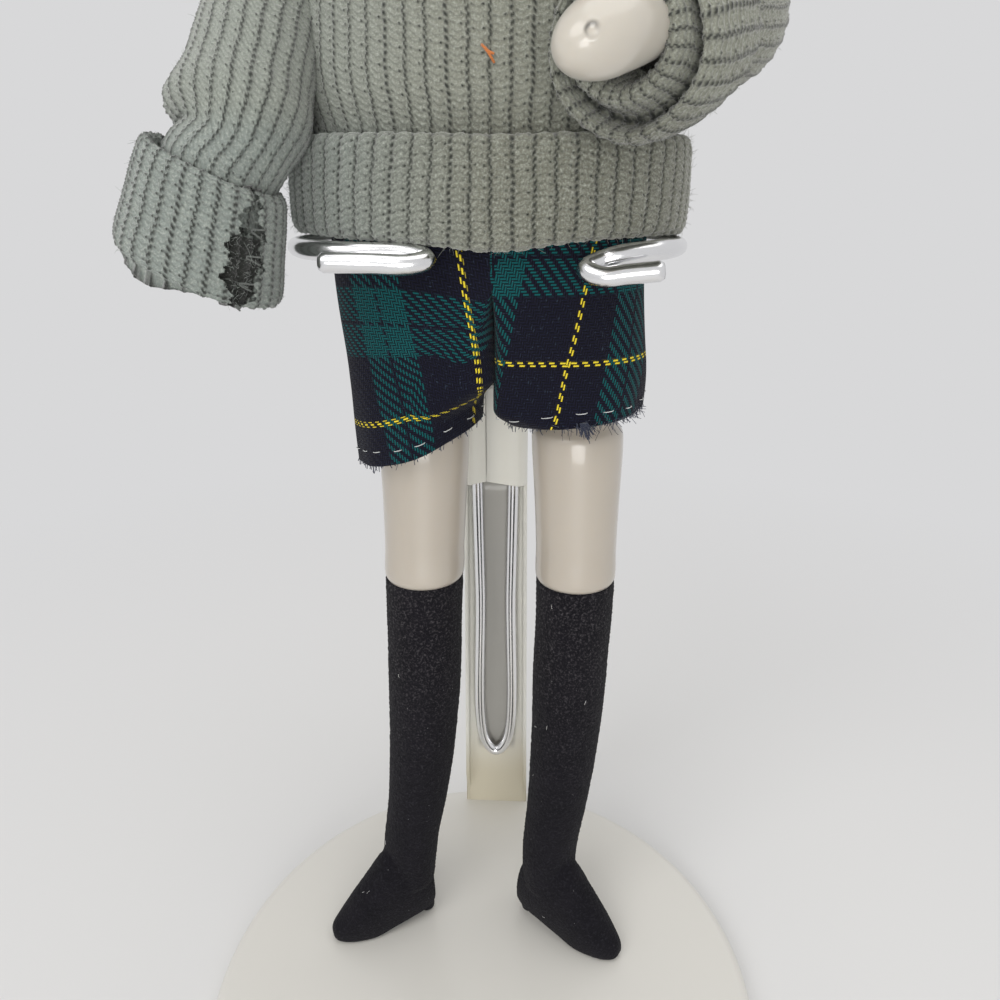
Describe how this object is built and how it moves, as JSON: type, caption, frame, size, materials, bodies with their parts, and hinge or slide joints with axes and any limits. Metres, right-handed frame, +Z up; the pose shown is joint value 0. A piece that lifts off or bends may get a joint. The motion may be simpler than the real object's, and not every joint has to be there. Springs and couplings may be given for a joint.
{
  "type": "porcelain doll ornament",
  "caption": "Small cloth-bodied doll with porcelain limbs, knitted sweater, tartan shorts and flocked boots, held at the waist by a sprung wire clip on a round stand.",
  "frame": {"origin": "middle of the base's underside, on the table", "axes": "+Z up, the doll faces -Y, the post is on the +Y side, +X is the doll's left"},
  "size_m": [0.095, 0.095, 0.2158],
  "materials": {
    "white_enamel": "gloss",
    "chrome_wire": "polished",
    "glazed_porcelain": "pearl glaze",
    "black_flock": "short pile",
    "muslin": "plain weave",
    "stuffing": "loose fibre",
    "rib_knit": "rib knit",
    "tartan": "twill weave",
    "tie_thread": "twisted",
    "armature": "satin",
    "hair": "combed fibre"
  },
  "bodies": {
    "stand": {"base_disc": "white_enamel", "post": "white_enamel"},
    "saddle": {"saddle_wire": "chrome_wire"},
    "trunk": {"trunk_cloth": "muslin", "trunk_stuffing": "stuffing", "shoulder_plate": "glazed_porcelain", "sweater_body": "rib_knit", "collar": "rib_knit", "shorts_seat": "tartan"},
    "head": {"head": "glazed_porcelain", "wig": "hair"},
    "arm_right": {"arm_cloth_right": "muslin", "arm_wire_right": "armature", "hand_right": "glazed_porcelain", "arm_tie_right": "tie_thread", "sleeve_right": "rib_knit", "cuff_right": "rib_knit"},
    "arm_left": {"arm_cloth_left": "muslin", "arm_wire_left": "armature", "hand_left": "glazed_porcelain", "arm_tie_left": "tie_thread", "sleeve_left": "rib_knit", "cuff_left": "rib_knit"},
    "leg_right": {"leg_right": "glazed_porcelain", "boot_right": "black_flock", "thigh_right": "muslin", "leg_tie_right": "tie_thread", "shorts_leg_right": "tartan"},
    "leg_left": {"leg_left": "glazed_porcelain", "boot_left": "black_flock", "thigh_left": "muslin", "leg_tie_left": "tie_thread", "shorts_leg_left": "tartan"}
  },
  "joints": [
    {"name": "saddle_slide", "type": "slide", "parent": "stand", "child": "saddle", "axis": [0, 0, 1], "range_m": [0, 0.05]},
    {"name": "doll_lift", "type": "slide", "parent": "saddle", "child": "trunk", "axis": [0, 0, 1], "range_m": [0, 0.08]},
    {"name": "head_turn", "type": "hinge", "parent": "trunk", "child": "head", "pos_m": [0, 0.024, 0.178], "axis": [0, 0, 1], "range_deg": [-60, 60]},
    {"name": "right_shoulder", "type": "hinge", "parent": "trunk", "child": "arm_right", "pos_m": [-0.0275, 0.024, 0.163], "axis": [-1, 0, 0], "range_deg": [0, 80]},
    {"name": "left_shoulder", "type": "hinge", "parent": "trunk", "child": "arm_left", "pos_m": [0.0275, 0.024, 0.163], "axis": [-1, 0, 0], "range_deg": [0, 50]},
    {"name": "right_hip", "type": "hinge", "parent": "trunk", "child": "leg_right", "pos_m": [-0.0109, 0.024, 0.112], "axis": [-1, 0, 0], "range_deg": [0, 40]},
    {"name": "left_hip", "type": "hinge", "parent": "trunk", "child": "leg_left", "pos_m": [0.0137, 0.024, 0.112], "axis": [-1, 0, 0], "range_deg": [0, 40]}
  ]
}
